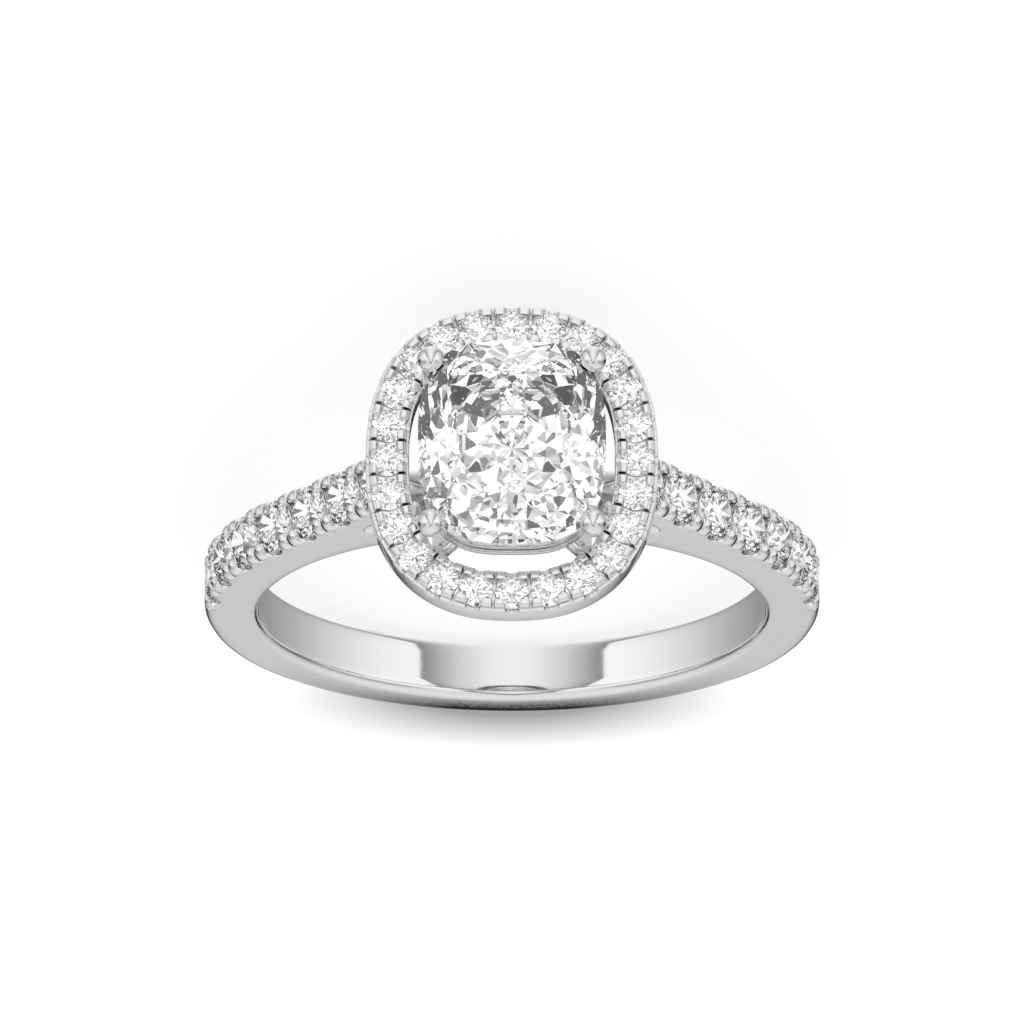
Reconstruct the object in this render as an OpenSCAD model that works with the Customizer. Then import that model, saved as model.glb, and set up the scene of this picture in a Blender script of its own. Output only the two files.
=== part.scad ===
// Cushion cut halo ring lying on its side, head raised towards -Y, finger hole nearly upright.
// The ring is drawn upright first: X across the head, Y along the finger, Z from the hole to the head.

/* [Band] */
// Radius of the finger hole
finger_r = 8.25; // [8:0.25:8.75]
// Radial thickness of the band
band_thick = 1.68; // [1.66:0.02:1.76]
// Width of the band along the finger
band_w = 1.9; // [1.88:0.02:1.96]

/* [Shoulders] */
// Diameter of a shoulder stone
shoulder_d = 1.75; // [1.65:0.05:1.75]
// Distance between neighbouring shoulder stones
shoulder_pitch = 1.84; // [1.84:0.01:1.86]
// Slope of the rising part of each shoulder, degrees
ramp_slope = 53; // [52:1:54]

/* [Halo] */
// Half width of the line the halo stones stand on
halo_half_w = 4.04; // [4.02:0.01:4.08]
// Half length of the line the halo stones stand on
halo_half_l = 4.52; // [4.5:0.01:4.56]
// Diameter of a halo stone
halo_d = 1.11; // [1.05:0.02:1.11]
// Height of the plain halo wall and its prongs
halo_h = 1.29; // [1.26:0.01:1.34]

/* [Centre stone] */
// Width of the centre stone
stone_w = 6.07; // [5.97:0.05:6.12]
// Length of the centre stone
stone_l = 6.94; // [6.84:0.05:6.99]
// Diameter of the round ball on each prong
ball_d = 0.86; // [0.8:0.02:0.9]

/* [Hidden] */
// Free gap between a stone and the metal or its neighbour
gap = 0.02;
halo_stones = 24;
// Rise of a round stone's crown for each unit of its radius
crown_slope = 0.614;
// Height of the opening cut over a round stone, and of the slits and side cuts
seat_up = 0.7;
cut_up = 1;
shoulder_stones = 7;

// Band
band_r = finger_r + band_thick;
band_half = band_w / 2;
hole_edge = 0.25;
hole_round = 0.29 * hole_edge;
rim_drop = 0.3;
rim_in = 0.3;
// How far the eased rim's middle point lies in from the outside and from the side
rim_mid = [0.09, 0.12];

// Heights of the head above the hole centre
halo_under = band_r + 2.15;
halo_top = halo_under + halo_h;
halo_girdle = halo_top - 0.4;
girdle_z = halo_top + 1.38;
crown_h = 0.9;
pavilion_h = 2.95;
girdle_half = 0.06;
cushion_power = 3;
table_share = 0.6;
crown_share = 0.82;
crown_mid = 0.52;
// Share of the outline and height at each step of the pavilion
pavilion = [[0.79, -0.8], [0.56, -1.55], [0.26, -2.3]];
rail_out = 0.95;
rail_in = 0.75;
base_z = band_r - 0.35;

// Halo frame
halo_power = 2.45;
wall_out = 0.68;
wall_in = 0.7;
prong_out = 0.57;
prong_in = 0.62;
ledge_z = halo_top - 0.29;
prong_root = 0.3;
// The prongs reach in over the stones to this distance from their line
halo_reach = 0.3;
halo_open = 0.4;
halo_u_r = 0.23;
halo_u_z = halo_top - 0.24;
slit_w = 0.09;
slit_z = ledge_z - 0.03;
// Half length and floor of the widened middle of a slit, and the length of a cut across the wall
halo_span = 0.36;
halo_floor = -0.05;
halo_cut = 2;
outline_n = 96;
length_n = 360;

// Shoulder line
path_r = band_r + 0.07;
path_z = 0.35;
ramp_from = 90 - ramp_slope;
ramp_len = (halo_under - path_z - path_r * sin(ramp_from)) / sin(ramp_slope);
first_stone_s = ramp_len - 1.472;
arm_start = -12;
arm_girdle = 0.25;
arm_u_r = 0.44;
arm_u_z = 0.02;
arm_reach = 0.5;
arm_open = 0.62;
arm_slit = 0.3;
arm_span = 0.55;
arm_cut = band_w + 1;
arm_in = 0.75;
// Depth of a shoulder at which its top edges are fully eased, and the easing's points: down and in
ease_depth = 0.5;
ease_points = [[0.26, 0], [0.09, 0.09], [0, 0.27]];

// Lying pose: the halo's lower end and the far side of the band touch the floor
halo_end = halo_half_l + wall_out;
touch_y = halo_end - band_half;
touch_z = halo_under + band_r - rim_drop;
lean = atan(touch_y / touch_z);
floor_z = halo_end * cos(lean) - halo_under * sin(lean);
table_z = girdle_z + crown_h;
low_y = -table_z * cos(lean) - 0.3 * stone_l * sin(lean);
high_y = (band_half - rim_in) * sin(lean) + band_r * cos(lean);
mid_y = (low_y + high_y) / 2;

// Outlines: a rounded oblong of half sizes a, b at angle t
function oblong(a, b, power, t) =
    let (r = pow(pow(abs(cos(t)) / a, power) + pow(abs(sin(t)) / b, power), -1 / power))
    [r * cos(t), r * sin(t)];

function line_point(t) = oblong(halo_half_w, halo_half_l, halo_power, t);
line_fine = [for (i = [0:length_n]) line_point(90 + i * 360 / length_n)];
function line_step(i) = i <= length_n ? norm(line_fine[i] - line_fine[i - 1]) : 0;
line_length = [for (i = 0, s = 0; i <= length_n; i = i + 1, s = s + line_step(i)) s];
line_total = line_length[length_n];

// Point of the stone line at a share u of its whole length, from the far end round towards -X
function line_at(u) =
    let (
        want = (u - floor(u)) * line_total,
        i = len([for (s = line_length) if (s <= want) 1]) - 1,
        share = (want - line_length[i]) / (line_length[i + 1] - line_length[i])
    )
    line_fine[i] + share * (line_fine[i + 1] - line_fine[i]);

function grow(v, half) = sign(v) * pow(abs(v) / half, halo_power - 1) / half;

// Outward direction of the stone line at its point p
function line_normal(p) =
    let (n = [grow(p[0], halo_half_w), grow(p[1], halo_half_l)])
    n / norm(n);

// Halo outline moved outwards by d
function halo_outline(d) = [
    for (i = [0:outline_n - 1])
        let (p = line_at(i / outline_n))
        p + d * line_normal(p)
];

// Shoulder line: an arc round the hole, then a straight ramp; s is measured from the foot of the ramp
function arm_angle(s) = s < 0 ? ramp_from + s / path_r * 180 / PI : ramp_from;
function arm_normal(s) = [cos(arm_angle(s)), sin(arm_angle(s))];
function arm_point(s) =
    [0, path_z] + path_r * arm_normal(s) + max(s, 0) * [-sin(ramp_from), cos(ramp_from)];
function stone_s(i) = first_stone_s - (i - 1) * shoulder_pitch;

// Faces between stacked rings of m corners each, then both end caps
function ring_faces(rings, m) = concat(
    [
        for (i = [0:rings - 2])
            for (j = [0:m - 1])
                [i * m + j, (i + 1) * m + j, (i + 1) * m + (j + 1) % m, i * m + (j + 1) % m]
    ],
    [
        [for (j = [0:m - 1]) j],
        [for (j = [m - 1:-1:0]) (rings - 1) * m + j]
    ]
);

// Round brilliant of diameter d, girdle at the origin, table towards +Z
module brilliant(d) {
    r = d / 2;
    g = 0.015 * d;
    table_r = 0.56 * r;
    mid_r = 0.78 * r;
    low_r = 0.27 * r;
    crown = 0.15 * d;
    depth = 0.445 * d;
    crown_rise = (crown - g) / (r - table_r);
    low_rise = (depth - g) / r;
    mid_z = g + (r - mid_r * cos(22.5)) * crown_rise;
    low_z = -g - (r - low_r * cos(22.5)) * low_rise;
    points = concat(
        [for (k = [0:7]) [table_r * cos(45 * k), table_r * sin(45 * k), crown]],
        [for (k = [0:7]) [mid_r * cos(45 * k + 22.5), mid_r * sin(45 * k + 22.5), mid_z]],
        [for (k = [0:15]) [r * cos(22.5 * k), r * sin(22.5 * k), g]],
        [for (k = [0:15]) [r * cos(22.5 * k), r * sin(22.5 * k), -g]],
        [for (k = [0:7]) [low_r * cos(45 * k + 22.5), low_r * sin(45 * k + 22.5), low_z]],
        [[0, 0, -depth]]
    );
    faces = concat(
        [[for (k = [7:-1:0]) k]],
        [for (k = [0:7]) [k, (k + 1) % 8, 8 + k]],
        [for (k = [0:7]) [k, 8 + k, 16 + 2 * k, 8 + (k + 7) % 8]],
        [for (k = [0:7]) [8 + k, 17 + 2 * k, 16 + 2 * k]],
        [for (k = [0:7]) [8 + k, 16 + (2 * k + 2) % 16, 17 + 2 * k]],
        [for (k = [0:15]) [16 + k, 16 + (k + 1) % 16, 32 + (k + 1) % 16, 32 + k]],
        [for (k = [0:7]) [32 + 2 * k, 33 + 2 * k, 48 + k]],
        [for (k = [0:7]) [33 + 2 * k, 32 + (2 * k + 2) % 16, 48 + k]],
        [for (k = [0:7]) [32 + 2 * k, 48 + k, 56, 48 + (k + 7) % 8]]
    );
    polyhedron(points = points, faces = faces, convexity = 2);
}

// Space cut in the metal for a round brilliant of diameter d, with a hole of radius open above its crown
module round_seat(d, open) {
    r = d / 2 + gap;
    g = 0.015 * d + gap;
    depth = 0.445 * d + 2 * gap;
    rotate_extrude($fn = 48)
        polygon([
            [0, -depth],
            [r, -g],
            [r, g],
            [open, g + crown_slope * (r - open)],
            [open, seat_up],
            [0, seat_up]
        ]);
}

// Slit of length l that parts two prongs, widened in its middle where two stones meet
module prong_slit(l, bottom, reach, floor, span) {
    translate([-slit_w / 2, -l / 2, bottom])
        cube([slit_w, l, cut_up]);
    translate([-span, -reach, floor])
        cube([2 * span, 2 * reach, cut_up]);
}

// Round-bottomed cut of radius r, open above, that shows a stone from the side
module u_cut(r, length) {
    half = 0.96 * r;
    linear_extrude(length, center = true)
        union() {
            circle(r, $fn = 32);
            translate([-half, 0])
                square([2 * half, cut_up]);
        }
}

// Places children at halo stone i with its girdle at the origin and +X outwards
module at_halo(i, half = 0) {
    p = line_at((i - 1 + half) / halo_stones);
    n = line_normal(p);
    translate([p[0], p[1], halo_girdle])
        rotate([0, 0, atan2(n[1], n[0])])
            children();
}

// Places children at shoulder length s, d below the prong tops, +Z outwards and +X up the shoulder
module at_shoulder(s, d) {
    p = arm_point(s) - d * arm_normal(s);
    translate([p[0], 0, p[1]])
        rotate([0, 90 - arm_angle(s), 0])
            mirror([1, 0, 0])
                children();
}

// Corner rings of the cushion stone: count corners from angle turn, at a share of the outline and a height
function cushion_ring(count, turn, share, z) = [
    for (k = [0:count - 1])
        let (p = oblong(stone_w / 2, stone_l / 2, cushion_power, turn + k * 360 / count))
        [share * p[0], share * p[1], z]
];

// Cushion brilliant, girdle at the origin, table towards +Z
module cushion_brilliant() {
    table = 0;
    crown = 8;
    girdle = 16;
    under = 48;
    upper = 80;
    middle = 96;
    lower = 104;
    culet = 112;
    points = concat(
        cushion_ring(8, 22.5, table_share, crown_h),
        cushion_ring(8, 0, crown_share, crown_mid),
        cushion_ring(32, 0, 1, girdle_half),
        cushion_ring(32, 0, 1, -girdle_half),
        cushion_ring(16, 11.25, pavilion[0][0], pavilion[0][1]),
        cushion_ring(8, 0, pavilion[1][0], pavilion[1][1]),
        cushion_ring(8, 22.5, pavilion[2][0], pavilion[2][1]),
        [[0, 0, -pavilion_h]]
    );
    faces = concat(
        [[for (k = [7:-1:0]) table + k]],
        [for (k = [0:7]) [table + (k + 7) % 8, table + k, crown + k]],
        [for (k = [0:7]) [table + k, crown + (k + 1) % 8, girdle + 4 * k + 2]],
        [for (k = [0:7]) [table + k, girdle + 4 * k + 2, crown + k]],
        [
            for (k = [0:7])
                for (j = [-2:1])
                    [crown + k, girdle + (4 * k + j + 33) % 32, girdle + (4 * k + j + 32) % 32]
        ],
        [for (k = [0:31]) [girdle + k, girdle + (k + 1) % 32, under + (k + 1) % 32, under + k]],
        [for (k = [0:15]) for (j = [0:1]) [under + 2 * k + j, under + (2 * k + j + 1) % 32, upper + k]],
        [for (k = [0:15]) [under + (2 * k + 2) % 32, upper + (k + 1) % 16, upper + k]],
        [for (k = [0:7]) [upper + (2 * k + 15) % 16, upper + 2 * k, middle + k]],
        [for (k = [0:7]) [upper + 2 * k, upper + 2 * k + 1, lower + k]],
        [for (k = [0:7]) [upper + 2 * k, lower + k, middle + k]],
        [for (k = [0:7]) [upper + 2 * k + 1, middle + (k + 1) % 8, lower + k]],
        [for (k = [0:7]) [middle + k, lower + k, lower + (k + 7) % 8]],
        [for (k = [0:7]) [lower + (k + 7) % 8, lower + k, culet]]
    );
    polyhedron(points = points, faces = faces, convexity = 2);
}

// Space cut in the metal for the cushion stone
module cushion_seat() {
    rings = [
        [table_share, crown_h + gap],
        [crown_share, crown_mid + gap],
        [1, girdle_half + gap],
        [1, -girdle_half - gap],
        pavilion[0],
        pavilion[1],
        pavilion[2]
    ];
    spread = 2 * gap / stone_w;
    last = len(rings) - 1;
    polyhedron(
        points = [for (r = [last:-1:0]) each cushion_ring(32, 0, rings[r][0] + spread, rings[r][1])],
        faces = ring_faces(len(rings), 32),
        convexity = 2
    );
}

// Round rod between two points
module rod(a, b, ra, rb) {
    v = b - a;
    translate(a)
        rotate([0, acos(v[2] / norm(v)), atan2(v[1], v[0])])
            cylinder(r1 = ra, r2 = rb, h = norm(v), $fn = 32);
}

// Thin three-cornered plate of thickness t
module web(a, b, c, t) {
    n = cross(b - a, c - a);
    h = n * t / 2 / norm(n);
    polyhedron(
        points = [a - h, b - h, c - h, a + h, b + h, c + h],
        faces = ring_faces(2, 3),
        convexity = 2
    );
}

// Plain round band with eased edges
module band() {
    rotate([90, 0, 0])
        rotate_extrude($fn = 96)
            polygon([
                [finger_r, -band_half + hole_edge],
                [finger_r + hole_round, -band_half + hole_round],
                [finger_r + hole_edge, -band_half],
                [band_r - rim_drop, -band_half],
                [band_r - rim_mid[0], rim_mid[1] - band_half],
                [band_r, -band_half + rim_in],
                [band_r, band_half - rim_in],
                [band_r - rim_mid[0], band_half - rim_mid[1]],
                [band_r - rim_drop, band_half],
                [finger_r + hole_edge, band_half],
                [finger_r + hole_round, band_half - hole_round],
                [finger_r, band_half - hole_edge]
            ]);
}

// One corner ring of a shoulder: top line, eased top edges, sides and foot
function arm_ring(top, n, foot) =
    let (ease = min(1, (top - foot) * n / ease_depth))
    [
        [foot[0], -band_half, foot[1]],
        for (e = ease_points)
            [top[0] - ease * e[0] * n[0], ease * e[1] - band_half, top[1] - ease * e[0] * n[1]],
        for (k = [len(ease_points) - 1:-1:0])
            let (e = ease_points[k])
            [top[0] - ease * e[0] * n[0], band_half - ease * e[1], top[1] - ease * e[0] * n[1]],
        [foot[0], band_half, foot[1]]
    ];

// Solid shoulder on the +X side before its seats are cut
module arm() {
    arc_s = path_r * PI / 180 * (arm_start - ramp_from);
    inner_x = halo_half_w - wall_in;
    leave = (band_r - 0.18) * [cos(61), sin(61)];
    bend = [inner_x + 0.41, halo_under - 1.75];
    reach = [inner_x + 0.05, halo_under + 0.05];
    top_s = ramp_len + 0.15;
    arc_rings = [
        for (k = [0:9])
            let (s = arc_s * (1 - k / 10), p = arm_point(s))
            arm_ring(p, arm_normal(s), p - arm_in * arm_normal(s))
    ];
    low_rings = [
        for (k = [0:2])
            let (p = arm_point(0.5 * top_s * k / 2))
            arm_ring(p, arm_normal(0), (band_r - 0.55) * p / norm(p))
    ];
    high_rings = [
        for (k = [0:4])
            let (
                u = k / 4,
                p = arm_point(top_s * (0.55 + 0.45 * u)),
                foot = (1 - u) * (1 - u) * leave + 2 * u * (1 - u) * bend + u * u * reach
            )
            arm_ring(p, arm_normal(0), foot)
    ];
    rings = concat(arc_rings, low_rings, high_rings);
    polyhedron(points = [for (r = rings) each r], faces = ring_faces(len(rings), 8), convexity = 6);
}

// Everything cut from the +X shoulder: seats, side scallops and prong slits
module arm_cuts() {
    for (i = [1:shoulder_stones]) {
        at_shoulder(stone_s(i), arm_girdle)
            round_seat(shoulder_d, arm_open);
        at_shoulder(stone_s(i), arm_u_z)
            rotate([90, 0, 0])
                u_cut(arm_u_r, arm_cut);
        at_shoulder(stone_s(i) - shoulder_pitch / 2, 0)
            prong_slit(arm_cut, -arm_slit, arm_reach, -arm_girdle - gap, arm_span);
    }
}

// Halo frame: a plain wall with narrower prong stock on top
module halo_frame() {
    translate([0, 0, halo_under])
        linear_extrude(ledge_z - halo_under)
            difference() {
                polygon(halo_outline(wall_out));
                polygon(halo_outline(-wall_in));
            }
    translate([0, 0, halo_under + prong_root])
        linear_extrude(halo_h - prong_root)
            difference() {
                polygon(halo_outline(prong_out));
                polygon(halo_outline(-prong_in));
            }
}

// Everything cut from the halo: seats, side scallops and prong slits
module halo_cuts() {
    for (i = [1:halo_stones]) {
        at_halo(i)
            round_seat(halo_d, halo_open);
        at_halo(i)
            translate([0, 0, halo_u_z - halo_girdle])
                rotate([90, 0, 90])
                    u_cut(halo_u_r, halo_cut);
        at_halo(i, 0.5)
            rotate([0, 0, 90])
                prong_slit(halo_cut, slit_z - halo_girdle, halo_reach, halo_floor, halo_span);
    }
}

// Gallery rail under the girdle of the centre stone
module rail() {
    translate([0, 0, girdle_z - 1.65])
        linear_extrude(1)
            difference() {
                polygon([for (p = cushion_ring(48, 0, 1, 0)) [p[0] * rail_out, p[1] * rail_out]]);
                polygon([for (p = cushion_ring(48, 0, 1, 0)) [p[0] * rail_in, p[1] * rail_in]]);
            }
}

// One ball-tipped prong at the +X +Y corner with its struts to the halo
module prong() {
    tip = [0.5 * stone_w - 0.415, 0.5 * stone_l - 0.695, girdle_z + 0.15];
    foot = [2.3, 0.55, base_z];
    mid = tip + 0.3 * (foot - tip);
    strut_a = [1.65, 2.75, girdle_z - 1.5];
    strut_b = [2.55, 3.3, halo_under + 0.42];
    strut_c = [3.15, 2.75, halo_under + 0.42];
    translate(tip)
        sphere(d = ball_d, $fn = 48);
    rod(tip, foot, 0.3, 0.4);
    rod(strut_a, strut_b, 0.19, 0.19);
    rod(mid, strut_c, 0.24, 0.19);
    web(mid, strut_a, strut_b, 0.18);
}

// All the soldered metal, drawn upright
module mounting_upright() {
    difference() {
        union() {
            band();
            for (side = [0, 1])
                mirror([side, 0, 0])
                    arm();
            halo_frame();
            rail();
            for (x = [0, 1])
                for (y = [0, 1])
                    mirror([x, 0, 0])
                        mirror([0, y, 0])
                            prong();
        }
        for (side = [0, 1])
            mirror([side, 0, 0])
                arm_cuts();
        halo_cuts();
        translate([0, 0, girdle_z])
            cushion_seat();
    }
}

// Turns the upright ring into its lying pose on the floor
module lying() {
    translate([0, -mid_y, floor_z])
        rotate([90 - lean, 0, 0])
            children();
}

module ring_mounting() {
    color("silver")
        lying()
            mounting_upright();
}

module centre_stone() {
    color("lightcyan")
        lying()
            translate([0, 0, girdle_z])
                cushion_brilliant();
}

module halo_stone(i) {
    color("lightcyan")
        lying()
            at_halo(i)
                brilliant(halo_d);
}

module shoulder_stone(i, side) {
    color("lightcyan")
        lying()
            mirror([side, 0, 0])
                at_shoulder(stone_s(i), arm_girdle)
                    brilliant(shoulder_d);
}

function halo_name(i) = str("halo_stone_", i < 10 ? "0" : "", i);
function shoulder_name(i, side) = str(side == 0 ? "right" : "left", "_stone_", i);

ring_mounting();
centre_stone();
for (i = [1:halo_stones])
    halo_stone(i);
for (side = [0, 1])
    for (i = [1:shoulder_stones])
        shoulder_stone(i, side);
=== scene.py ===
import math

import bmesh
import bpy
import numpy as np
from mathutils import Matrix, Vector


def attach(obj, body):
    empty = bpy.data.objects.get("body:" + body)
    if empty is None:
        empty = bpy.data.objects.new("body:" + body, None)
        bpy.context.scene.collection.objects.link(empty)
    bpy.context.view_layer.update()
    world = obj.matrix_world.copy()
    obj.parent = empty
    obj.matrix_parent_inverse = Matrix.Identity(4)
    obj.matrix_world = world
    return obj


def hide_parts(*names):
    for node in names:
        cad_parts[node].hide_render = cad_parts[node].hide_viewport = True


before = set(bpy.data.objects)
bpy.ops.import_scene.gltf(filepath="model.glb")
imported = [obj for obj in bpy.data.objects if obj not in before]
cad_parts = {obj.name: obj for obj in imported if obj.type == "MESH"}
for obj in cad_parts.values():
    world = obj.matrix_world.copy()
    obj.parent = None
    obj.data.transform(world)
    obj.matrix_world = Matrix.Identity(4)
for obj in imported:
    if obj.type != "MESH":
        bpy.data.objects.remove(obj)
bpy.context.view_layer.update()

# The ring is worked out upright, in millimetres: X across the head, Y along the finger and Z from the hole's
# middle to the head. Band: the hole's radius, the thickness, the width, and how far the edges are eased
# outside and in the hole
FINGER_R, BAND_THICK, BAND_W = 8.25, 1.68, 1.9
EASE, HOLE_EDGE = 0.3, 0.25
BAND_R, HALF = FINGER_R + BAND_THICK, BAND_W / 2
# Shoulder rows: a stone's width, the distance from stone to stone, their number, and the ramp's slope in
# degrees
SHOULDER_D, PITCH, SHOULDER_N, SLOPE = 1.75, 1.84, 7, 53
# Halo: half width, half length and power of the line through its stones, a stone's width, their number, and
# the height of the frame
LINE_W, LINE_L, LINE_POWER = 4.04, 4.52, 2.45
HALO_D, HALO_N, HALO_H = 1.11, 24, 1.29
# Centre stone: width, length and power of its outline, the table's height over the girdle and its share of
# the outline, and the width of a prong's ball
STONE_W, STONE_L, STONE_POWER, TABLE_H, TABLE, BALL_D = 6.07, 6.94, 3, 0.9, 0.6, 0.86
# Free gap round each stone, and the slit between neighbouring prongs
GAP, SLIT = 0.02, 0.09
# Round stones: half a girdle's height as a share of the width, and how steeply the opening rises over a crown
GIRDLE_SHARE, CROWN_SLOPE = 0.015, 0.614

# Heights from the middle of the hole: the halo's underside, top, ledge and girdles, and the centre girdle
HALO_UNDER = BAND_R + 2.15
HALO_TOP = HALO_UNDER + HALO_H
LEDGE = HALO_TOP - 0.29
HALO_GIRDLE = HALO_TOP - 0.4
GIRDLE_Z = HALO_TOP + 1.38
# Halo frame, across from its line: the wall and the prongs, outside and inside, and half the channel that
# splits the prongs. Then the scallops' radius and the height of their middle, and the slope of the seats
WALL, WALL_IN, PRONG_OUT, PRONG_IN = 0.68, 0.7, 0.57, 0.62
CHANNEL, HALO_U_R, HALO_U_Z, HALO_SEAT_SLOPE = 0.3, 0.23, HALO_TOP - 0.24, 0.86
# Shoulder line: an arc with its middle just over the hole's, then a straight ramp of this length, with the
# first stone near the ramp's end
PATH_R, PATH_Z, RAMP_FROM = BAND_R + 0.07, 0.35, 90 - SLOPE
RAMP_LEN = (HALO_UNDER - PATH_Z - PATH_R * math.sin(math.radians(RAMP_FROM))) / math.sin(math.radians(SLOPE))
FIRST_S = RAMP_LEN - 1.472
# Shoulder, in depths under that line: the girdles, the scallops' radius and middle, half the channel that
# splits the prongs, the slits between them, and the slope of the seats
ARM_GIRDLE, U_R, U_Z, ARM_CHANNEL, ARM_SLIT, ARM_SEAT_SLOPE = 0.25, 0.44, 0.02, 0.5, 0.3, 0.865
# Reach of a shoulder seat, and of a pair of prongs, from the stone's middle
ARM_SEAT, ARM_EDGE = SHOULDER_D / 2 + GAP, (PITCH - SLIT) / 2
# Half width kept where a seat runs out, and a distance beyond every stone
SEAT_MIN, FAR = 0.03, 9.0
# Half height of the groove that each girdle sits in
HALO_RIM, ARM_RIM = GIRDLE_SHARE * HALO_D + GAP, GIRDLE_SHARE * SHOULDER_D + GAP

# Lying pose, as in the CAD model: the ring leans on the halo's edge and on the far edge of its palm
HALO_END = LINE_L + WALL
LEAN = math.atan((HALO_END - HALF) / (HALO_UNDER + BAND_R - EASE))
SIN, COS = math.sin(LEAN), math.cos(LEAN)
FLOOR_Z = HALO_END * COS - HALO_UNDER * SIN
LOW_Y = -(GIRDLE_Z + TABLE_H) * COS - TABLE * STONE_L / 2 * SIN
HIGH_Y = (HALF - EASE) * SIN + BAND_R * COS
MID_Y = (LOW_Y + HIGH_Y) / 2
# Radius of the eased outer edges, which the ring rests on
ROUND = EASE * SIN / (COS + SIN - 1) + 0.002


def lying(p):
    """Upright millimetres to the row frame in metres."""
    p = np.asarray(p, float)
    x, y, z = p[..., 0], p[..., 1], p[..., 2]
    return np.stack([x, y * SIN - z * COS - MID_Y, y * COS + z * SIN + FLOOR_Z], -1) / 1000


def direction(y, z):
    """An upright direction in the plane of X = 0, turned to the row frame."""
    return Vector((0, y * SIN - z * COS, y * COS + z * SIN)).normalized()


def unit(v):
    v = np.asarray(v, float)
    return v / np.linalg.norm(v, axis=-1, keepdims=True)


def polar(degrees):
    """Unit vector at an angle, in the plane across the finger."""
    return np.array([math.cos(math.radians(degrees)), math.sin(math.radians(degrees))])


def piece(name, parts, materials, sharp=None, indices=None):
    """One mesh object from (points, faces) parts in upright millimetres.

    sharp is the angle in degrees from which an edge stays sharp; without it all faces are flat.
    indices gives each face its material."""
    points, faces, base = [], [], 0
    for p, f in parts:
        points.append(np.asarray(p, float).reshape(-1, 3))
        faces += [[i + base for i in face] for face in f]
        base += len(points[-1])
    mesh = bpy.data.meshes.new(name)
    mesh.from_pydata(lying(np.concatenate(points)).tolist(), [], faces)
    for m in materials:
        mesh.materials.append(m)
    if indices is not None:
        mesh.polygons.foreach_set("material_index", indices)
    if sharp is not None:
        mesh.shade_smooth()
        mesh.set_sharp_from_angle(angle=math.radians(sharp))
    mesh.validate()
    mesh.update()
    ob = bpy.data.objects.new(name, mesh)
    bpy.context.scene.collection.objects.link(ob)
    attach(ob, "root")
    return ob


def loft(rings, around=False):
    """Skin over rings of points, capped at both ends unless it runs around. The faces are turned outwards."""
    rings = np.asarray(rings, float)
    n, m = rings.shape[:2]
    faces = []
    for i in range(n if around else n - 1):
        a, b = i * m, (i + 1) % n * m
        faces += [(a + j, a + (j + 1) % m, b + (j + 1) % m, b + j) for j in range(m)]
    if not around:
        faces += [tuple(range(m))[::-1], tuple((n - 1) * m + j for j in range(m))]
    points = rings.reshape(-1, 3)
    volume = 0.0
    centre = points.mean(0)
    for f in faces:
        q = points[list(f)] - centre
        for k in range(1, len(f) - 1):
            volume += np.dot(q[0], np.cross(q[k], q[k + 1]))
    return points, [f[::-1] for f in faces] if volume < 0 else faces


def oblong(a, b, power, degrees):
    """Points at the given angles on a rounded oblong with half widths a and b."""
    c, s = np.cos(np.radians(degrees)), np.sin(np.radians(degrees))
    r = (np.abs(c / a) ** power + np.abs(s / b) ** power) ** (-1 / power)
    return np.stack([r * c, r * s], -1)


# Halo line: walked at equal lengths from the far end round towards -X
LINE_FINE = oblong(LINE_W, LINE_L, LINE_POWER, 90 + np.linspace(0, 360, 3601))
LINE_LEN = np.concatenate([[0], np.cumsum(np.linalg.norm(np.diff(LINE_FINE, axis=0), axis=1))])
CELL = LINE_LEN[-1] / HALO_N


def line_at(length):
    want = np.mod(length, LINE_LEN[-1])
    return np.stack([np.interp(want, LINE_LEN, LINE_FINE[:, k]) for k in (0, 1)], -1)


def line_normal(p):
    sides = ((p[..., 0], LINE_W), (p[..., 1], LINE_L))
    return unit(np.stack([np.sign(v) * (np.abs(v) / h) ** (LINE_POWER - 1) / h for v, h in sides], -1))


def halo_top(x, edge, ease):
    """Top of the halo frame at x along the line from a stone's middle, and whether a prong stands there."""
    a = abs(x)
    if a < HALO_U_R:
        return HALO_U_Z - math.sqrt(HALO_U_R ** 2 - a * a), False
    if a > edge:
        return LEDGE - 0.03, False
    near = min(a - HALO_U_R, edge - a)
    return HALO_TOP - (ease - math.sqrt(max(ease * ease - max(ease - near, 0) ** 2, 0))), True


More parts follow.
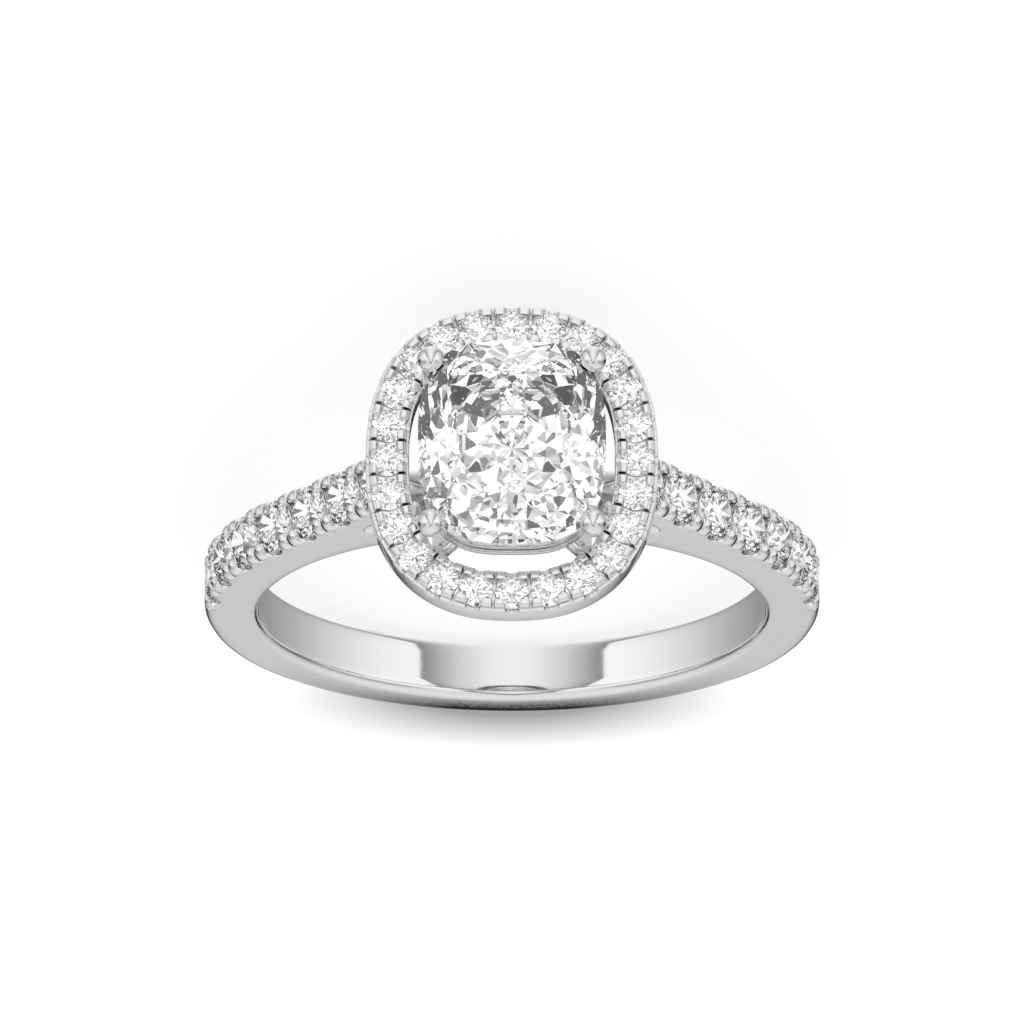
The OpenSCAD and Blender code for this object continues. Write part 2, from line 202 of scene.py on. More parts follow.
def halo_half(x, wall, prong, top, stands):
    """Half a section of the halo frame, and the height in its middle.

    The points run from the foot over the prong to the seat, as (distance from the line, height)."""
    seat = HALO_D / 2 + GAP
    low = min(LEDGE, top)
    reach = min(math.sqrt(max(seat * seat - x * x, SEAT_MIN ** 2)), 0.6)
    over = abs(x) < HALO_U_R
    floor = top if over else min(top, HALO_GIRDLE - 0.05)
    between = (CHANNEL + reach) / 2

    def cone(w):
        return HALO_GIRDLE - HALO_RIM - (seat - math.hypot(x, w)) * HALO_SEAT_SLOPE

    def roof(w):
        return HALO_GIRDLE + HALO_RIM + (seat - math.hypot(x, w)) * CROWN_SLOPE

    p = [(wall - 0.1, HALO_UNDER), (wall - 0.03, HALO_UNDER + 0.008), (wall - 0.008, HALO_UNDER + 0.03)]
    p += [(wall, HALO_UNDER + 0.1), (wall, HALO_UNDER + 0.45)]
    p += [(wall, low - 0.05), (wall - 0.006, low - 0.017), (wall - 0.022, low)]
    out = max(prong, reach + 0.02) if over else prong
    p += [(out + 0.004, low), (out, low + 0.001)]
    if stands:
        p += [(out, top - 0.066), (out - 0.005, top - 0.055), (out - 0.053, top - 0.007)]
        p += [(out - 0.065, top), (0.37, top), (0.352, top - 0.004), (0.34, top - 0.02)]
        if reach > CHANNEL:
            p += [(CHANNEL + 0.006, roof(CHANNEL) + 0.02), (CHANNEL, roof(CHANNEL))]
            p += [(between, roof(between)), (reach, HALO_GIRDLE + HALO_RIM)]
        else:
            p += [(CHANNEL + 0.006, floor + 0.1), (CHANNEL, floor), (between, floor), (reach, floor)]
    else:
        inner = reach if over else CHANNEL
        p += [(out - (out - inner) * k / 7, top - 0.0001) for k in range(8)]
        p += [(inner - 0.0001, floor), ((inner + reach) / 2, floor), (reach, floor)]
    cap = floor if over or not stands else math.inf
    p += [(reach * t, min(cap, cone(reach * t))) for t in (0.995, 0.75, 0.5, 0.25)]
    return p, min(cap, cone(0))


def halo_ring():
    """The halo frame: a plain wall, a ledge, and split prongs that reach over the stones from both sides."""
    edge, ease, step = (CELL - SLIT) / 2, 0.045, 0.0002
    walk = [HALO_U_R * math.sin(math.radians(a)) for a in (0, 15, 30, 44, 57, 69, 79, 86)]
    walk += [HALO_U_R - step, HALO_U_R + step, 0.236, 0.249, 0.275, 0.33, 0.4, 0.46]
    walk += [edge - ease, edge - 0.02, edge - 0.006, edge - step, edge + step]
    walk = sorted({-v for v in walk[1:]} | set(walk)) + [CELL / 2]
    rings = []
    for k in range(HALO_N):
        for x in walk:
            p = line_at(k * CELL + x)
            n = line_normal(p)
            top, stands = halo_top(x, edge, ease)
            outer, middle = halo_half(x, WALL, PRONG_OUT, top, stands)
            inner, _ = halo_half(x, WALL_IN, PRONG_IN, top, stands)
            across = outer + [(0.0, middle)] + [(-w, z) for w, z in inner[::-1]]
            rings.append([[*(p + w * n), z] for w, z in across])
    return loft(rings, around=True)


def arm_point(s):
    """Point and outward direction, in X and Z, of the shoulder line at s from the foot of the ramp."""
    n = polar(RAMP_FROM + (math.degrees(s / PATH_R) if s < 0 else 0))
    return np.array([0, PATH_Z]) + PATH_R * n + max(s, 0) * np.array([-n[1], n[0]]), n


# The stones' places along the shoulder line, and its end inside the halo frame
STONE_S = [FIRST_S - i * PITCH for i in range(SHOULDER_N)]
ARM_END = RAMP_LEN + 0.15


def arm_top(x):
    """Depth of the shoulder's top at x along the row from the nearest stone's middle, and what is there."""
    if x is None:
        return 0.0, "plain"
    a = abs(x)
    if a > ARM_EDGE:
        return ARM_SLIT, "slit"
    if a < U_R:
        return U_Z + math.sqrt(U_R ** 2 - a * a), "scallop"
    middle, wide, roll, proud, soft = (U_R + ARM_EDGE) / 2, (ARM_EDGE - U_R) / 2, 0.3, 0.044, 0.03
    drop = roll - math.sqrt(roll ** 2 - (a - middle) ** 2)
    corner = soft * max(0, (abs(a - middle) - wide + soft) / soft) ** 2
    return drop - proud + corner, "prong"


def arm_seat(x, depth, kind):
    """Half of a shoulder's top, from the seat's middle to the flank, as (distance from the middle, depth)."""
    a = FAR if x is None else abs(x)
    reach = math.sqrt(max(ARM_SEAT * ARM_SEAT - a * a, SEAT_MIN ** 2))
    floor = ARM_GIRDLE + GAP if kind == "prong" else depth
    between = (reach + ARM_CHANNEL) / 2

    def cone(y):
        rho = math.hypot(a, y)
        return ARM_GIRDLE + ARM_RIM + (ARM_SEAT - rho) * ARM_SEAT_SLOPE if rho < ARM_SEAT + 0.001 else -FAR

    def roof(y):
        return ARM_GIRDLE - ARM_RIM - (ARM_SEAT - math.hypot(a, y)) * CROWN_SLOPE

    top = [(reach * t, max(floor, cone(reach * t))) for t in (0.0, 0.3, 0.6, 0.85, 0.985)]
    if kind != "prong":
        end = max(reach + 0.008, ARM_CHANNEL + 0.06 if kind != "scallop" else 0)
        return top + [(reach + (end - reach) * k / 8, depth) for k in range(1, 9)]
    if reach > ARM_CHANNEL:
        top += [(reach, ARM_GIRDLE + ARM_RIM), (reach, ARM_GIRDLE - ARM_RIM), (between, roof(between))]
        top += [(ARM_CHANNEL, max(roof(ARM_CHANNEL), depth + 0.05))]
    else:
        top += [(reach + (ARM_CHANNEL - reach) * t, floor) for t in (0.01, 0.3, 0.65, 1)]
    last = top[-1][1]
    half = (last - depth) / 2
    top += [(ARM_CHANNEL, (last + depth) / 2), (ARM_CHANNEL + 0.004, depth + min(0.045, half))]
    return top + [(ARM_CHANNEL + 0.025, depth + 0.014), (ARM_CHANNEL + 0.06, depth)]


def band_section(p, n, foot, x=None):
    """Section of the band or a shoulder, all the way round.

    p and n are the top line's point and outward direction, foot the point under it, all in X and Z.
    x is the distance along the row from the nearest stone, if there is one."""
    depth, kind = arm_top(x)
    top = arm_seat(x, depth, kind)
    last = top[-1][0]
    flank = max(last + 0.001, HALF - ROUND)
    top += [(last + (flank - last) * 0.5, depth)]
    first = math.asin(min((flank - HALF + ROUND) / ROUND, 1))
    for k in range(12):
        b = first + (math.pi / 2 - first) * k / 11
        if kind == "prong":
            d = depth * max(0.0, 1 - (b / (math.pi / 2)) ** 3)
            top.append((HALF - ROUND + (ROUND - d) * math.sin(b), ROUND - (ROUND - d) * math.cos(b)))
        else:
            top.append((HALF - ROUND + ROUND * math.sin(b), max(depth, ROUND * (1 - math.cos(b)))))
    half = [np.array([p[0] - d * n[0], y, p[1] - d * n[1]]) for y, d in top]
    base = np.array([foot[0], HALF, foot[1]])
    side = half[-1] - base
    up = unit(side)
    half += [base + side * t for t in (0.8, 0.55, 0.3)]
    for c, s in ((1, 0), (0.62, 0.08), (0.29, 0.29), (0.08, 0.62), (0, 1)):
        half.append(base + up * HOLE_EDGE * c - np.array([0, HOLE_EDGE * s, 0]))
    half += [base - np.array([0, HALF * 0.5, 0])]
    left = [q * [1, -1, 1] for q in half[1:]]
    return half + [base - [0, HALF, 0]] + left[::-1]


def row_stations():
    """Where the shoulder line has a section, each place with its distance from the nearest stone."""
    step = 0.0003
    marks = [U_R * math.sin(math.radians(a)) for a in (0, 12, 24, 36, 47, 57, 66, 74, 80, 85)]
    marks += [U_R - step, U_R + step, U_R + 0.006, *np.linspace(U_R + 0.02, ARM_EDGE - 0.02, 11)]
    marks += [ARM_EDGE - 0.006, ARM_EDGE - step, ARM_EDGE + step]
    marks = sorted({-v for v in marks[1:]} | set(marks)) + [PITCH / 2]
    start = PATH_R * math.radians(-12 - RAMP_FROM)
    row_low, row_high = STONE_S[-1] - PITCH / 2 - SLIT / 2, STONE_S[0] + PITCH / 2 + SLIT / 2
    stations = [(s, None) for s in np.linspace(start, row_low - 0.02, 26)] + [(row_low - step, None)]
    for c in STONE_S[::-1]:
        stations += [(c + x, x) for x in marks if c < STONE_S[0] or x < ARM_EDGE]
    return stations + [(s, None) for s in np.linspace(row_high, ARM_END, 8)]


def shank():
    """Band and both shoulders as one skin, and the stretch of band under the head as another."""
    rings = []
    for t in np.linspace(-90, -12.6, 56):
        rings.append(band_section(BAND_R * polar(t), polar(t), FINGER_R * polar(t)))
    # The shoulder's underside follows the hole, then leaves it and bends up to the halo's inner wall
    inner_x = LINE_W - WALL_IN
    split = 0.55 * ARM_END
    leave = (BAND_R - 0.18) * polar(61)
    bend = np.array([inner_x + 0.41, HALO_UNDER - 1.75])
    meet = np.array([inner_x + 0.05, HALO_UNDER + 0.05])
    for s, x in row_stations():
        p, n = arm_point(s)
        if s < split:
            foot = FINGER_R * unit(p)
        else:
            u = (s - split) / (ARM_END - split)
            foot = (1 - u) ** 2 * leave + 2 * u * (1 - u) * bend + u * u * meet
        rings.append(band_section(p, n, foot, x))
    right = np.array(rings)
    both = np.concatenate([right[:0:-1] * [-1, 1, 1], right])
    # Under the head, a hair narrower than the shoulders that it runs into
    rings = []
    for t in [58.4, 59.2, 59.3, *np.linspace(60, 120, 61), 120.7, 120.8, 121.6]:
        inset = 0.01 if abs(t - 90) > 30.75 else 0
        ring = np.array(band_section(BAND_R * polar(t), polar(t), (FINGER_R + inset) * polar(t)))
        ring[:, 1] *= 0.998
        rings.append(ring)
    return [loft(both), loft(rings)]


# Sides of a round bar, and of half a ball's circle
SIDES = 40


def rod(a, b, ra, rb):
    """Round bar from a to b, with a radius at each end."""
    a, b = np.array(a, float), np.array(b, float)
    axis = unit(b - a)
    e1 = unit(np.cross(axis, [0.3, 1, 0.2]))
    e2 = np.cross(axis, e1)
    t = np.linspace(0, 2 * np.pi, SIDES, endpoint=False)
    ring = np.cos(t)[:, None] * e1 + np.sin(t)[:, None] * e2
    return loft([a + (b - a) * k + ring * (ra + (rb - ra) * k) for k in np.linspace(0, 1, 7)])


def ball(middle, radius):
    t = np.linspace(0, 2 * np.pi, 2 * SIDES, endpoint=False)
    rings = []
    for k in range(1, SIDES):
        a = math.pi * k / SIDES
        ring = [np.cos(t) * math.sin(a), np.sin(t) * math.sin(a), np.full_like(t, -math.cos(a))]
        rings.append(np.stack(ring, -1) * radius + middle)
    return loft(rings)


def web(a, b, c, thick):
    """Three-cornered plate."""
    a, b, c = (np.array(v, float) for v in (a, b, c))
    h = unit(np.cross(b - a, c - a)) * thick / 2
    return loft([[a - h, b - h, c - h], [a + h, b + h, c + h]])


def cushion_ring(count, turn, share, z):
    """Points round the centre stone's outline, at a share of its size."""
    p = oblong(STONE_W / 2, STONE_L / 2, STONE_POWER, turn + np.arange(count) * 360 / count)
    return np.concatenate([p * share, np.full((count, 1), z)], 1)


def gallery_rail():
    """Rail under the centre stone, with its section as (share of the outline, height over the girdle)."""
    section = [(0.75, -1.65), (0.935, -1.65), (0.946, -1.635), (0.95, -1.6), (0.95, -1.32), (0.944, -1.28),
               (0.925, -1.26), (0.925, -1.2), (0.944, -1.18), (0.95, -1.14), (0.95, -0.72), (0.945, -0.67),
               (0.93, -0.65), (0.855, -0.65), (0.846, -0.66), (0.8, -0.81), (0.757, -0.95), (0.75, -1.0)]
    rings = []
    for t in np.linspace(0, 360, 144, endpoint=False):
        p = oblong(STONE_W / 2, STONE_L / 2, STONE_POWER, t)
        rings.append([[p[0] * s, p[1] * s, GIRDLE_Z + z] for s, z in section])
    return loft(rings, around=True)


def prongs():
    """Four round-tipped prongs with their struts and webs, each bar a part of its own."""
    tip = np.array([0.5 * STONE_W - 0.415, 0.5 * STONE_L - 0.695, GIRDLE_Z + 0.15])
    foot = np.array([2.3, 0.55, BAND_R - 0.35])
    middle = tip + 0.3 * (foot - tip)
    rail_end = [1.65, 2.75, GIRDLE_Z - 1.5]
    halo_far = [2.55, 3.3, HALO_UNDER + 0.42]
    halo_side = [3.15, 2.75, HALO_UNDER + 0.42]
    one = [ball(tip, BALL_D / 2), rod(tip, foot, 0.3, 0.4), rod(rail_end, halo_far, 0.19, 0.19),
           rod(middle, halo_side, 0.24, 0.19), web(middle, rail_end, halo_far, 0.18)]
    parts = []
    for x in (1, -1):
        for y in (1, -1):
            parts += [(p * [x, y, 1], f if x * y > 0 else [g[::-1] for g in f]) for p, f in one]
    return parts


def loose_object(name, points, faces):
    mesh = bpy.data.meshes.new(name)
    mesh.from_pydata(lying(points).tolist(), [], faces)
    ob = bpy.data.objects.new(name, mesh)
    bpy.context.scene.collection.objects.link(ob)
    return ob


def trimmed_prongs():
    """Meshes of the prongs with the centre stone's seat cut out of them."""
    # The CAD stone, as (share of its outline, height over the girdle), with the gap round it
    rows = [(TABLE, 0.93), (0.82, 0.55), (1, 0.09), (1, -0.09), (0.79, -0.8), (0.56, -1.55), (0.26, -2.3)]
    grown = 2 * GAP / STONE_W
    points, faces = loft([cushion_ring(32, 0, share + grown, z) + [0, 0, GIRDLE_Z] for share, z in rows])
    cutter = loose_object("cutter", points, faces)
    meshes = []
    for points, faces in prongs():
        ob = loose_object("trim", points, faces)
        cut = ob.modifiers.new("cut", "BOOLEAN")
        cut.object, cut.operation, cut.solver = cutter, "DIFFERENCE", "EXACT"
        trimmed = ob.evaluated_get(bpy.context.evaluated_depsgraph_get())
        meshes.append(bpy.data.meshes.new_from_object(trimmed))
        bpy.data.objects.remove(ob)
    bpy.data.objects.remove(cutter)
    return meshes


def brilliant(d):
    """Round brilliant: table, star, bezel and upper facets, girdle, lower facets and mains."""
    r, g = d / 2, GIRDLE_SHARE * d
    table_r, mid_r, low_r, crown, depth = 0.56 * r, 0.78 * r, 0.27 * r, 0.15 * d, 0.445 * d
    mid_z = g + (r - mid_r * math.cos(math.pi / 8)) * (crown - g) / (r - table_r)
    low_z = -g - (r - low_r * math.cos(math.pi / 8)) * (depth - g) / r

    def ring(n, turn, radius, z):
        t = np.radians(turn + np.arange(n) * 360 / n)
        return np.stack([radius * np.cos(t), radius * np.sin(t), np.full(n, z)], -1)

    points = np.concatenate([ring(8, 0, table_r, crown), ring(8, 22.5, mid_r, mid_z), ring(16, 0, r, g),
                             ring(16, 0, r, -g), ring(8, 22.5, low_r, low_z), [[0, 0, -depth]]])
    middle, upper, lower, low, culet = 8, 16, 32, 48, 56
    e = range(8)
    faces = [list(e)]
    faces += [[k, middle + k, (k + 1) % 8] for k in e]
    faces += [[k, middle + (k + 7) % 8, upper + 2 * k, middle + k] for k in e]
    faces += [[middle + k, upper + 2 * k, upper + 2 * k + 1] for k in e]
    faces += [[middle + k, upper + 2 * k + 1, upper + (2 * k + 2) % 16] for k in e]
    girdle = len(faces)
    faces += [[upper + k, lower + k, lower + (k + 1) % 16, upper + (k + 1) % 16] for k in range(16)]
    ends = len(faces)
    faces += [[lower + 2 * k, low + k, lower + 2 * k + 1] for k in e]
    faces += [[lower + 2 * k + 1, low + k, lower + (2 * k + 2) % 16] for k in e]
    faces += [[lower + 2 * k, low + (k + 7) % 8, culet, low + k] for k in e]
    return points, faces, [1 if girdle <= i < ends else 0 for i in range(len(faces))]


def cushion():
    """Cushion brilliant with a split crown and a deep pavilion of many small facets in staggered rows."""
    # Rows of points: how many, turned by how many degrees, share of the outline, height over the girdle
    crown_rows = [(8, 22.5, TABLE, TABLE_H), (8, 0, 0.82, 0.52), (32, 0, 1, 0.06)]
    under_rows = [(32, 0, 1, -0.06), (16, 11.25, 0.855, -0.56), (16, 0, 0.70, -1.06),
                  (16, 11.25, 0.53, -1.53), (16, 0, 0.36, -1.97), (16, 11.25, 0.18, -2.43)]
    points = np.concatenate([cushion_ring(*row) for row in crown_rows + under_rows] + [[[0, 0, -2.9]]])
    crown, girdle = 8, 16
    under = girdle + 32
    upper = under + 32
    e = range(8)
    faces = [list(e)]
    faces += [[(k + 7) % 8, crown + k, k] for k in e]
    faces += [[k, girdle + 4 * k + 2, crown + (k + 1) % 8] for k in e]
    faces += [[k, crown + k, girdle + 4 * k + 2] for k in e]
    for k in e:
        for j in range(4 * k - 2, 4 * k + 2):
            faces.append([crown + k, girdle + j % 32, girdle + (j + 1) % 32])
    first = len(faces)
    faces += [[girdle + k, under + k, under + (k + 1) % 32, girdle + (k + 1) % 32] for k in range(32)]
    last = len(faces)
    for k in range(16):
        faces += [[under + 2 * k + j, upper + k, under + (2 * k + j + 1) % 32] for j in (0, 1)]
    faces += [[under + (2 * k + 2) % 32, upper + k, upper + (k + 1) % 16] for k in range(16)]
    for row in range(4):
        a, b = upper + 16 * row, upper + 16 * (row + 1)
        for k in range(16):
            k1 = (k + 1) % 16
            if row % 2 == 0:
                faces += [[a + k, b + k1, a + k1], [a + k, b + k, b + k1]]
            else:
                faces += [[a + k, b + k, a + k1], [a + k1, b + k, b + k1]]
    a = upper + 64
    faces += [[a + k, a + 16, a + (k + 1) % 16] for k in range(16)]
    return points, faces, [1 if first <= i < last else 0 for i in range(len(faces))]


class Graph:
    """A material's or the world's node tree, with one short method for each kind of node used here."""

    def __init__(self, owner):
        owner.use_nodes = True
        self.nodes, self.links = owner.node_tree.nodes, owner.node_tree.links

    def feed(self, node, values):
        """Set a node's inputs by name, each to a constant or to another node's output."""
        for name, value in values.items():
            if isinstance(value, bpy.types.NodeSocket):
                self.links.new(value, node.inputs[name])
            else:
                node.inputs[name].default_value = value

    def place(self, kind="Object"):
        node = self.nodes.get("Texture Coordinate") or self.nodes.new("ShaderNodeTexCoord")
        return node.outputs[kind]

    def moved(self, vector, values):
        node = self.nodes.new("ShaderNodeMapping")
        self.feed(node, {"Vector": vector, **values})
        return node.outputs["Vector"]

    def noise(self, scale, detail=2.0, roughness=0.5):
        node = self.nodes.new("ShaderNodeTexNoise")
        self.feed(node, {"Vector": self.place(), "Scale": scale, "Detail": detail, "Roughness": roughness})
        return node.outputs["Fac"]

    def remap(self, value, low, high, from_low=0.0, from_high=1.0):
        node = self.nodes.new("ShaderNodeMapRange")
        self.feed(node, {"Value": value, "From Min": from_low, "From Max": from_high})
        self.feed(node, {"To Min": low, "To Max": high})
        return node.outputs["Result"]

    def maths(self, kind, a, b=0.0):
        """One step of arithmetic."""
        node = self.nodes.new("ShaderNodeMath")
        node.operation = kind
        self.feed(node, {0: a, 1: b})
        return node.outputs["Value"]

    def mix(self, factor, a, b):
        """Blend from a to b, each a colour, a shade of grey or a node's output."""
        node = self.nodes.new("ShaderNodeMix")
        node.data_type = "RGBA"
        a, b = ((v, v, v, 1) if isinstance(v, float) else v for v in (a, b))
        self.feed(node, {"Factor": factor, "A": a, "B": b})
        return node.outputs["Result"]

    def ramp(self, value, stops, mode="LINEAR"):
        """Greys that change with a value, as (value, grey) stops."""
        node = self.nodes.new("ShaderNodeValToRGB")
        node.color_ramp.interpolation = mode
        while len(node.color_ramp.elements) < len(stops):
            node.color_ramp.elements.new(0.5)
        for element, (at, grey) in zip(node.color_ramp.elements, stops):
            element.position, element.color = at, (grey, grey, grey, 1)
        self.feed(node, {"Fac": value})
        return node.outputs["Color"]

    def along(self, direction):
        """How far the light comes from along a direction: 0 from behind, 1 from ahead."""
        node = self.nodes.new("ShaderNodeVectorMath")
        node.operation = "DOT_PRODUCT"
        self.feed(node, {0: self.place("Generated"), 1: direction})
        return self.remap(node.outputs["Value"], 0.0, 1.0, -1.0, 1.0)


def material(name):
    m = bpy.data.materials.new(name)
    return m, Graph(m), m.node_tree.nodes["Principled BSDF"]


def metal():
    """Rhodium plated white gold: near mirror, with a faint orange-peel, hairlines and painted shade in its
    crevices.
    """
    m, graph, shader = material("white_gold")
    clouds, hairlines = graph.noise(260.0, 3.0), graph.noise(9000.0, 2.0, 0.7)
    polished = graph.mix(clouds, (0.80, 0.80, 0.805, 1), (0.86, 0.858, 0.853, 1))
    # Painted shade: the metal's colour darkens toward near black in crevices and recesses, by how closely its
    # own piece's metal lies round it
    painted_crevice_shade = graph.nodes.new("ShaderNodeAmbientOcclusion")
    painted_crevice_shade.samples = 6
    painted_crevice_shade.only_local = True
    graph.feed(painted_crevice_shade, {"Distance": 0.00016})
    open_share = graph.remap(painted_crevice_shade.outputs["AO"], 0.0, 1.0, 0.12, 0.68)
    bevel = graph.nodes.new("ShaderNodeBevel")
    bevel.samples = 6
    graph.feed(bevel, {"Radius": 0.00003})
    bump = graph.nodes.new("ShaderNodeBump")
    graph.feed(bump, {"Strength": 0.06, "Distance": 0.00002})
    graph.feed(bump, {"Height": clouds, "Normal": bevel.outputs["Normal"]})
    # Painted crevice shade blended into the polished colour
    colour = graph.mix(open_share, (0.05, 0.05, 0.055, 1), polished)
    rough = graph.remap(hairlines, 0.05, 0.13, 0.3, 0.75)
    graph.feed(shader, {"Metallic": 1.0, "Base Color": colour, "Roughness": rough})
    graph.feed(shader, {"Normal": bump.outputs["Normal"]})
    return m


def diamond(name, bruted):
    """Clear diamond; a bruted girdle has a rougher surface."""
    m, graph, shader = material(name)
    tint = graph.mix(graph.noise(900.0), (1, 1, 1, 1), (0.985, 0.982, 0.975, 1))
    rough = graph.remap(graph.noise(20000.0), 0.15, 0.4) if bruted else 0.0
    graph.feed(shader, {"Transmission Weight": 1.0, "IOR": 2.42, "Base Color": tint, "Roughness": rough})
    return m


GOLD = metal()
GEM = [diamond("clear_diamond", False), diamond("bruted_girdle", True)]

# Metal pieces. The prongs' domes stay inside the CAD model's greatest half width
WIDEST = 10.0055
limit = np.array([WIDEST, 99, 99])
wall = piece("halo_frame", [halo_ring()], [GOLD], sharp=32)
band_parts = [(np.clip(p, -limit, limit), f) for p, f in shank()]
body = piece("band_and_shoulders", band_parts, [GOLD], sharp=32)
joined = bmesh.new()
for mesh in trimmed_prongs():
    joined.from_mesh(mesh)
holder = piece("prong_basket", [gallery_rail()], [GOLD])
joined.from_mesh(holder.data)
joined.to_mesh(holder.data)
holder.data.shade_smooth()
holder.data.set_sharp_from_angle(angle=math.radians(35))
# The metal is left out of the light that has passed through a stone, so that the stones stay clear
for ob in (wall, body, holder):
    ob.visible_transmission = False
    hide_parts("ring_mounting")

# Stones
p, f, indices = cushion()
stone = piece("centre_gem", [(p + [0, 0, GIRDLE_Z], f)], GEM, indices=indices)
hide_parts("centre_stone")
p, f, indices = brilliant(HALO_D)
for i in range(HALO_N):
    c = line_at(i * CELL)
    n = line_normal(c)
    x, y, z = p.T
    q = np.stack([x * n[0] - y * n[1] + c[0], x * n[1] + y * n[0] + c[1], z + HALO_GIRDLE], -1)
    ob = piece(f"halo_gem_{i + 1:02d}", [(q, f)], GEM, indices=indices)
    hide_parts(f"halo_stone_{i + 1:02d}")
p, f, indices = brilliant(SHOULDER_D)
for side, word in ((1, "right"), (-1, "left")):
    for i, s in enumerate(STONE_S):
        c, n = arm_point(s)
        c = c - ARM_GIRDLE * n
        x, y, z = p.T
        q = np.stack([side * (c[0] + z * n[0] - x * n[1]), y, c[1] + z * n[1] + x * n[0]], -1)
        flip = [g[::-1] for g in f] if side > 0 else f
        ob = piece(f"{word}_gem_{i + 1}", [(q, flip)], GEM, indices=indices)
        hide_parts(f"{word}_stone_{i + 1}")

# Floor: pale, with a painted soft contact shadow beyond the palm, where its glow is lowered. The shadow's
# radii are in millimetres from the middle of the circle that the band lies on: it fades outwards from the
# palm, with none inside the band
SHADOW_FROM, SHADOW_TO, SHADOW_NONE = 9.9, 15.6, 9.0
bpy.ops.mesh.primitive_plane_add(size=6, location=(0, 0, 0))
floor = bpy.context.object
floor.name = "studio_floor"
m, graph, shader = material("floor_white")
spot = graph.moved(graph.place(), {"Scale": (1000, 1000, 0), "Location": (0, MID_Y + HALF * SIN, 0)})
span = graph.nodes.new("ShaderNodeVectorMath")
span.operation = "LENGTH"
axes = graph.nodes.new("ShaderNodeSeparateXYZ")
graph.feed(span, {0: spot})
graph.feed(axes, {"Vector": spot})
length = span.outputs["Value"]
beyond = graph.remap(graph.maths("DIVIDE", axes.outputs["Y"], length), 0.0, 1.0, 0.85, 1.0)
fading = graph.remap(length, 0.0, 1.0, SHADOW_TO, SHADOW_FROM)
close = graph.maths("MULTIPLY", fading, graph.maths("GREATER_THAN", length, SHADOW_NONE))
shade = graph.maths("MULTIPLY", beyond, close)
# Painted shadow: the floor's glow drops from 0.86 to 0.22 where the shadow is deepest
glow = graph.remap(shade, 0.86, 0.22, 0.0, 0.38)
graph.feed(shader, {"Base Color": graph.mix(graph.noise(3.0), 0.20, 0.22), "Roughness": 0.6})
graph.feed(shader, {"Specular IOR Level": 0.1, "Emission Color": (1, 1, 1, 1), "Emission Strength": glow})
floor.data.materials.append(m)
floor.visible_transmission = floor.visible_glossy = False

# A low dark card 10 mm behind the ring, seen only in the metal, which paints a dark reflection standing in
# for shade: the palm's outer edge mirrors its dished top. Its place and foot are in metres, the rise is how
# far the mirrored line of sight climbs for each metre, and the dish's middle is in millimetres
BACK_Y, BACK_FOOT, BACK_RISE, DISH_Z = 0.0225, -0.006, 0.1365, 0.65
points = []
for x in np.linspace(-8, 8, 33):
    mirrored = lying((x, HALF, DISH_Z - math.sqrt((BAND_R - EASE) ** 2 - x * x)))
    top = mirrored[2] + BACK_RISE * (BACK_Y - mirrored[1])
    points += [(x / 1000, BACK_Y, BACK_FOOT), (x / 1000, BACK_Y, top)]
mesh = bpy.data.meshes.new("dark_painted_reflection_card")
mesh.from_pydata(points, [], [(k, k + 1, k + 3, k + 2) for k in range(0, 64, 2)])
painted_reflection_card = bpy.data.objects.new("dark_painted_reflection_card", mesh)
bpy.context.scene.collection.objects.link(painted_reflection_card)
m, graph, shader = material("painted_dark_reflection")
# Painted reflection: the card glows grey at its ends and near black in its middle
fade = graph.nodes.new("ShaderNodeTexGradient")
fade.gradient_type = "SPHERICAL"
graph.feed(fade, {"Vector": graph.moved(graph.place(), {"Scale": (125, 0, 0)})})
glow = graph.remap(fade.outputs["Fac"], 0.66, 0.02, 0.0, 0.75)
graph.feed(shader, {"Base Color": (0, 0, 0, 1)})
graph.feed(shader, {"Specular IOR Level": 0.0, "Emission Color": (1, 1, 1, 1), "Emission Strength": glow})
painted_reflection_card.data.materials.append(m)
painted_reflection_card.visible_camera = painted_reflection_card.visible_diffuse = False
painted_reflection_card.visible_transmission = painted_reflection_card.visible_shadow = False

# Directions to the lens, at the photo's angle to the head, and to the top of the picture
LENS_Y, LENS_Z = 0.3224, 0.9466
away, up = direction(LENS_Y, LENS_Z), direction(-LENS_Z, LENS_Y)

# The studio round the ring, laid out along the picture: sideways, upwards and towards the lens
world = bpy.data.worlds.new("studio")
bpy.context.scene.world = world
graph = Graph(world)
graph.nodes.clear()
upwards, near = graph.along(tuple(up)), graph.along(tuple(away))
sideways = graph.maths("SUBTRACT", graph.along((1, 0, 0)), 0.5)
aside = graph.maths("MULTIPLY", graph.maths("ABSOLUTE", sideways), 2.0)
# Overhead dome: bright above and in front, dimmer behind
dome = graph.ramp(near, [(0.0, 0.30), (0.27, 0.56), (0.45, 0.78), (0.67, 1.03), (0.75, 1.10), (1.0, 1.12)])
# Soft box above the lens, wider towards its top, bright in its middle and dim at its sides
wide = graph.ramp(upwards, [(0.0, 0.30), (0.5, 0.30), (0.765, 0.6445), (1.0, 0.6445)])
share = graph.maths("DIVIDE", aside, wide)
box = graph.ramp(graph.maths("MULTIPLY", share, 0.5),
                 [(0.0, 1.05), (0.13, 0.98), (0.19, 0.9), (0.25, 0.81), (0.31, 0.72), (0.367, 0.59),
                  (0.42, 0.47), (0.47, 0.33), (0.499, 0.26)])
over = graph.mix(graph.ramp(share, [(0.0, 0.0), (0.995, 0.0), (1.0, 1.0)]), box, dome)
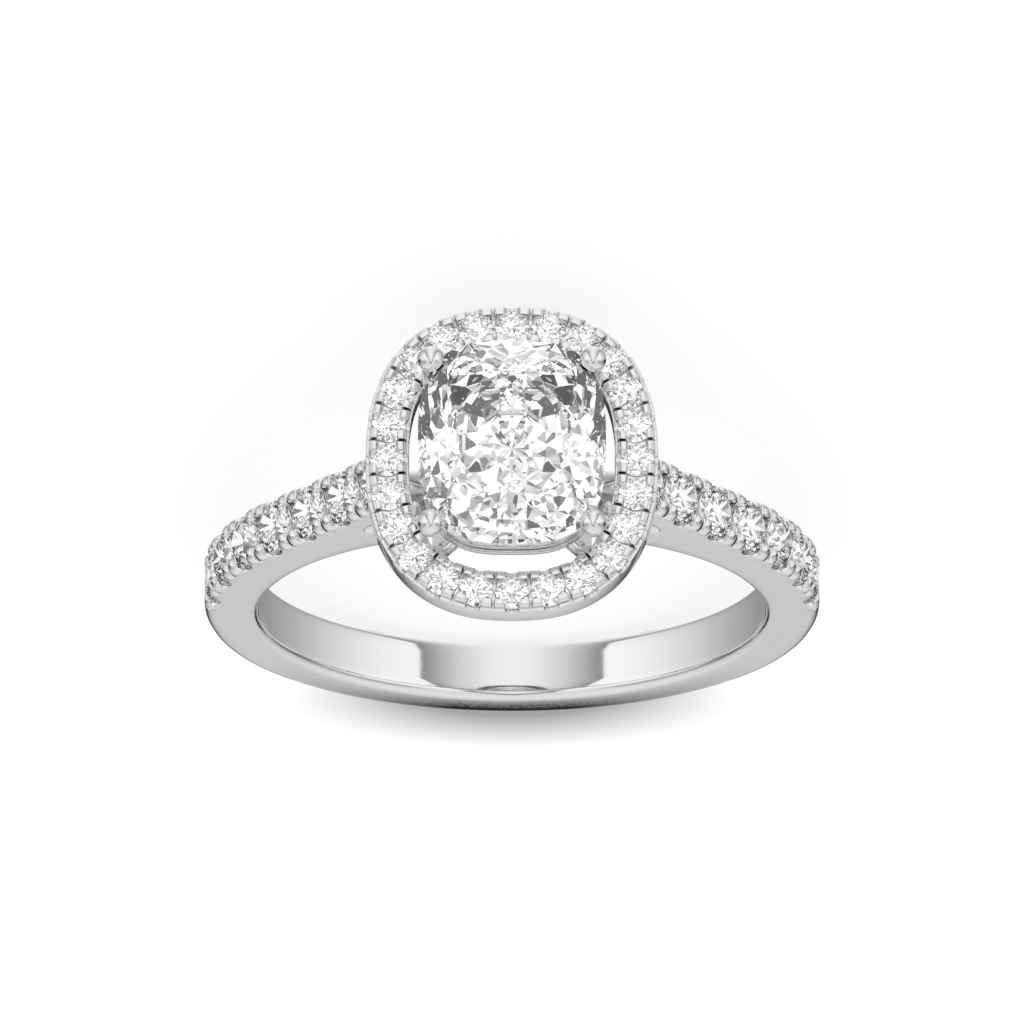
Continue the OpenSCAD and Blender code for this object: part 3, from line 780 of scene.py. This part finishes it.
# Table below: light in front, grey at the sides, two dark stands, darker towards the back edge
table_near = graph.ramp(upwards, [(0.0, 0.90), (0.2, 0.80), (0.4, 0.88), (0.5, 0.95)])
table_side = graph.ramp(upwards, [(0.0, 0.85), (0.2, 0.75), (0.27, 0.5), (0.4, 0.5), (0.46, 0.85),
                                  (0.5, 0.9)])
table_back = graph.ramp(upwards, [(0.0, 0.90), (0.2, 0.67), (0.3, 0.45), (0.38, 0.12), (0.5, 0.03)])
under = graph.mix(graph.ramp(aside, [(0.0, 0.0), (0.5, 0.0), (0.7, 1.0)]), table_near, table_side)
stands = graph.maths("ADD", aside, graph.ramp(upwards, [(0.0, 0.58), (0.5, 0.0)]))
stand_share = graph.ramp(stands, [(0.0, 0.0), (0.27, 0.0), (0.3, 0.9), (0.38, 0.9), (0.41, 0.0)])
under = graph.mix(stand_share, under, 0.08)
under = graph.mix(graph.ramp(near, [(0.0, 1.0), (0.35, 1.0), (0.55, 0.0)]), under, table_back)
studio = graph.mix(graph.ramp(upwards, [(0.0, 0.0), (0.497, 0.0), (0.503, 1.0), (1.0, 1.0)]), under, over)

# For light that has passed through a stone: a patchwork of bright and dark panels. Its three colours lie
# slightly apart, which gives the stones their fire
PANELS = [(0.0, 0.08), (0.13, 0.22), (0.22, 0.42), (0.32, 0.68), (0.42, 0.9), (0.54, 1.3)]
channels = []
for shift in (-0.0025, 0.0, 0.0025):
    cells = graph.nodes.new("ShaderNodeTexVoronoi")
    turned = graph.moved(graph.place("Generated"), {"Rotation": (shift, shift * 0.7, shift)})
    graph.feed(cells, {"Vector": turned, "Scale": 8.0})
    pick = graph.nodes.new("ShaderNodeSeparateColor")
    graph.feed(pick, {"Color": cells.outputs["Color"]})
    channels.append(graph.ramp(pick.outputs["Red"], PANELS, "CONSTANT"))
fire = graph.nodes.new("ShaderNodeCombineColor")
graph.feed(fire, dict(zip(("Red", "Green", "Blue"), channels)))
patches = graph.mix(0.13, channels[1], fire.outputs["Color"])
path = graph.nodes.new("ShaderNodeLightPath")
inner = graph.mix(path.outputs["Transmission Depth"], studio, 1.15)
back = graph.nodes.new("ShaderNodeBackground")
graph.feed(back, {"Color": graph.mix(path.outputs["Is Transmission Ray"], inner, patches), "Strength": 1.0})
graph.feed(graph.nodes.new("ShaderNodeOutputWorld"), {"Surface": back.outputs["Background"]})

# Camera: the photo's angle to the head, from the ring's other, matching side, and turned upright to the
# picture. The lens and the sensor are in millimetres, and the picture's width and the target's rise in metres
LENS, SENSOR, PICTURE_W, TARGET_UP = 1500.0, 36.0, 0.0333550, 0.002508
target = Vector((0, -MID_Y / 1000, FLOOR_Z / 1000)) + up * TARGET_UP
cam_data = bpy.data.cameras.new("photo_camera")
cam_data.lens, cam_data.sensor_width = LENS, SENSOR
cam_data.clip_start, cam_data.clip_end = 0.005, 20.0
cam = bpy.data.objects.new("photo_camera", cam_data)
axes = Matrix(((-away).cross(up), up, away)).transposed().to_4x4()
cam.matrix_world = Matrix.Translation(target + away * PICTURE_W * LENS / SENSOR) @ axes
scene = bpy.context.scene
scene.collection.objects.link(cam)
scene.camera = cam
scene.view_settings.view_transform = "Standard"
scene.cycles.max_bounces = 16
scene.cycles.transmission_bounces = 14
scene.cycles.glossy_bounces = 6
scene.cycles.transparent_max_bounces = 8
scene.cycles.caustics_reflective = False
scene.cycles.caustics_refractive = False
scene.cycles.use_denoising = True
